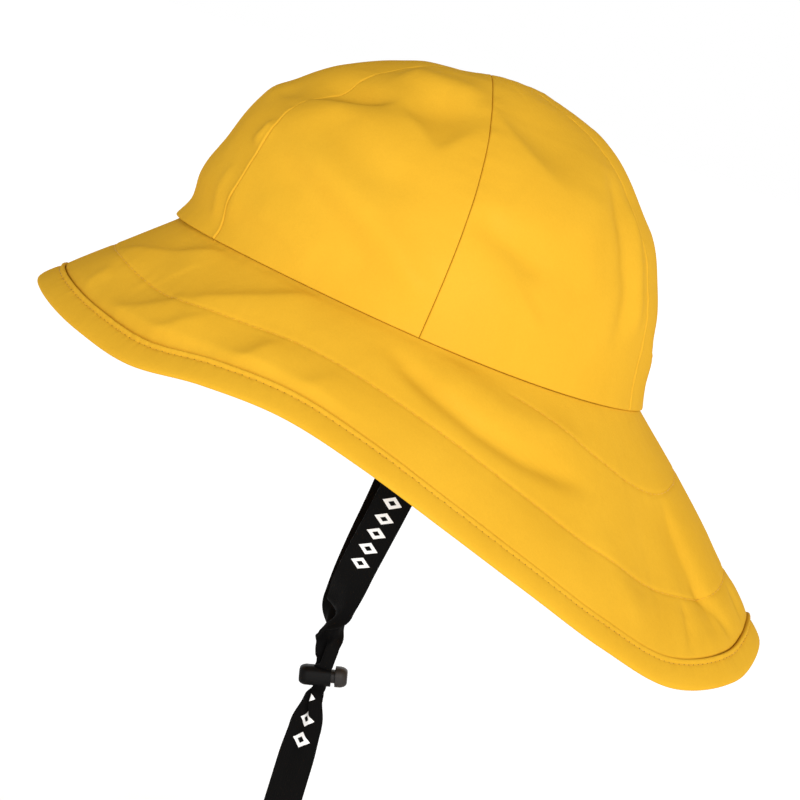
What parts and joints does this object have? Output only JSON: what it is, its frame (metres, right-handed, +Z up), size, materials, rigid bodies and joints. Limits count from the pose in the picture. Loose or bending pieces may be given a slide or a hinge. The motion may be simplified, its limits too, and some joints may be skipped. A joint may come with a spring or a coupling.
{
  "type": "rain hat",
  "caption": "Coated-cloth rain hat with a panelled crown, a sloping brim long over the neck, and a webbing chin strap with a cord lock.",
  "frame": {"origin": "middle of the crown's lower opening, where the head goes in", "axes": "+Z up through the crown, -Y toward the front of the brim, +X toward the wearer's left"},
  "size_m": [0.2602, 0.3284, 0.3517],
  "materials": {
    "yellow_cloth": "smooth coated cloth, satin",
    "black_webbing": "woven webbing with a light printed motif",
    "black_plastic": "moulded, satin",
    "grey_plastic": "moulded, satin"
  },
  "bodies": {
    "hat": {"crown_front": "yellow_cloth", "crown_front_left": "yellow_cloth", "crown_back_left": "yellow_cloth", "crown_back": "yellow_cloth", "crown_back_right": "yellow_cloth", "crown_front_right": "yellow_cloth", "brim": "yellow_cloth", "edge_band": "yellow_cloth", "chin_strap": "black_webbing", "lock_barrel": "black_plastic"},
    "button": {"lock_button": "grey_plastic"}
  },
  "joints": [
    {"name": "button_press", "type": "slide", "parent": "hat", "child": "button", "axis": [0, -0.9744, -0.225], "range_m": [0, 0.0012], "stiffness_N_per_m": 400, "springref_m": -0.0006}
  ]
}
